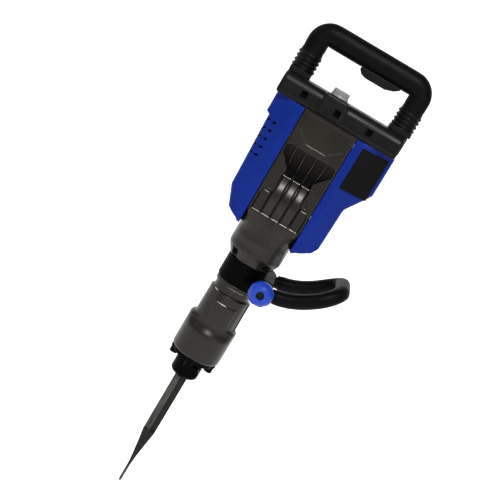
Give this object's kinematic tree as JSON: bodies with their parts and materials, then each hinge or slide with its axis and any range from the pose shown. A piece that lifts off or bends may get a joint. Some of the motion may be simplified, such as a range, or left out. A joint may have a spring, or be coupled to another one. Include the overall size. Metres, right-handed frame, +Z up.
{
  "type": "electric jackhammer",
  "caption": "Upright electric demolition hammer with a cast crank housing, plastic side shells, a sprung D rear handle, a swivelling side handle and a flat chisel.",
  "frame": {"origin": "tip of the chisel, on the tool axis, with the chisel hanging at the bottom of its stroke", "axes": "+Z up along the tool axis from the chisel's tip to the rear handle; -Y is the front, with the cooling bars and the clamp knob; +X is the side of the side handle and the motor's bulge"},
  "size_m": [0.3114, 0.1862, 0.977],
  "materials": {
    "cast_metal": "satin",
    "blue_plastic": "satin",
    "knob_blue": "satin",
    "black_plastic": "satin",
    "rubber": "matte",
    "dial_gray": "satin",
    "black_steel": "black oxide",
    "tool_steel": "forged",
    "bright_steel": "ground",
    "gear_steel": "machined",
    "bronze": "plain bearing bronze",
    "copper": "copper windings and segments",
    "carbon": "carbon",
    "laminate": "stacked sheets",
    "board_green": "circuit board",
    "plate_black": "gloss, no lettering"
  },
  "bodies": {
    "machine": {"tool_sleeve": "black_steel", "dust_seal": "rubber", "holder_plate": "black_steel", "cap_bolts": "black_steel", "front_cap": "cast_metal", "barrel": "cast_metal", "barrel_screw": "bright_steel", "crank_housing": "cast_metal", "housing_bolts": "black_steel", "left_shell": "blue_plastic", "right_shell": "blue_plastic", "name_plate": "plate_black", "shell_screws": "black_steel", "rear_cover": "black_plastic", "top_cover": "black_plastic", "top_cover_screws": "black_steel", "handle_sockets": "black_plastic", "left_bellows": "rubber", "right_bellows": "rubber", "handle_springs": "bright_steel", "guide_bushes": "bronze", "control_board": "board_green", "cord_gland": "rubber", "motor_case": "black_plastic", "stator": "laminate", "brush_holders": "bronze", "brushes": "carbon", "bearings": "bright_steel", "bearing_plate": "cast_metal", "cylinder_liner": "gear_steel"},
    "chisel_tool": {"chisel": "tool_steel"},
    "lock_pin": {"retainer_pin": "black_steel"},
    "collar": {"clamp_band": "black_plastic", "clamp_bolt": "gear_steel"},
    "side_handle": {"side_handle_frame": "black_plastic", "side_handle_core": "gear_steel", "side_handle_grip": "rubber"},
    "knob": {"clamp_knob": "knob_blue"},
    "rear_handle": {"handle_front_half": "rubber", "handle_rear_half": "rubber", "handle_screws": "black_steel", "trigger_switch": "carbon", "guide_rods": "bright_steel"},
    "trigger_button": {"trigger": "black_plastic"},
    "dial": {"speed_dial": "dial_gray"},
    "armature": {"armature_shaft": "gear_steel", "armature_core": "copper", "commutator": "copper", "fan": "black_plastic"},
    "layshaft": {"layshaft_gears": "gear_steel"},
    "crank": {"crank_gear": "gear_steel", "crankshaft": "gear_steel"},
    "piston_group": {"piston": "gear_steel", "wrist_pin": "bright_steel", "piston_rings": "rubber"},
    "rod": {"connecting_rod": "gear_steel"},
    "ram": {"striker": "gear_steel", "striker_rings": "rubber"},
    "anvil": {"impact_bolt": "gear_steel", "impact_seals": "rubber"}
  },
  "joints": [
    {"name": "chisel_slide", "type": "slide", "parent": "machine", "child": "chisel_tool", "axis": [0, 0, 1], "range_m": [0, 0.018]},
    {"name": "lock_pin_turn", "type": "hinge", "parent": "machine", "child": "lock_pin", "pos_m": [0.0145, 0, 0.278], "axis": [0, 1, 0], "range_deg": [-180, 0]},
    {"name": "collar_swivel", "type": "hinge", "parent": "machine", "child": "collar", "pos_m": [0, 0, 0.4945], "axis": [0, 0, 1], "range_deg": [-180, 180]},
    {"name": "side_handle_tilt", "type": "hinge", "parent": "collar", "child": "side_handle", "pos_m": [0.048, 0, 0.4945], "axis": [0, 1, 0], "range_deg": [-12, 60]},
    {"name": "knob_turn", "type": "hinge", "parent": "collar", "child": "knob", "pos_m": [0.048, -0.08, 0.4945], "axis": [0, -1, 0], "range_deg": [0, 720]},
    {"name": "handle_float", "type": "slide", "parent": "machine", "child": "rear_handle", "axis": [0, 0, 1], "range_m": [-0.008, 0], "stiffness_N_per_m": 12000, "springref_m": 0.004, "deforming": ["left_bellows", "right_bellows", "handle_springs"]},
    {"name": "trigger_press", "type": "slide", "parent": "rear_handle", "child": "trigger_button", "axis": [0, 0, 1], "range_m": [0, 0.005], "stiffness_N_per_m": 600, "springref_m": -0.004},
    {"name": "dial_turn", "type": "hinge", "parent": "machine", "child": "dial", "pos_m": [-0.012, -0.028, 0.866], "axis": [0, 0, 1], "range_deg": [0, 300]},
    {"name": "armature_spin", "type": "hinge", "parent": "machine", "child": "armature", "pos_m": [0, 0.012, 0.758], "axis": [1, 0, 0], "continuous": true},
    {"name": "layshaft_spin", "type": "hinge", "parent": "machine", "child": "layshaft", "pos_m": [0, 0.00061, 0.73025], "axis": [1, 0, 0], "continuous": true},
    {"name": "crank_spin", "type": "hinge", "parent": "machine", "child": "crank", "pos_m": [0, 0, 0.69], "axis": [1, 0, 0], "continuous": true},
    {"name": "piston_slide", "type": "slide", "parent": "machine", "child": "piston_group", "axis": [0, 0, 1], "range_m": [0, 0.028]},
    {"name": "rod_swing", "type": "hinge", "parent": "piston_group", "child": "rod", "pos_m": [0, 0, 0.604], "axis": [1, 0, 0], "range_deg": [-12, 12]},
    {"name": "ram_slide", "type": "slide", "parent": "machine", "child": "ram", "axis": [0, 0, 1], "range_m": [0, 0.02]},
    {"name": "anvil_slide", "type": "slide", "parent": "machine", "child": "anvil", "axis": [0, 0, 1], "range_m": [0, 0.008]}
  ],
  "couplings": [
    {"joint": "layshaft_spin", "follows": "armature_spin", "ratio": -0.33333},
    {"joint": "crank_spin", "follows": "armature_spin", "ratio": 0.13131}
  ]
}
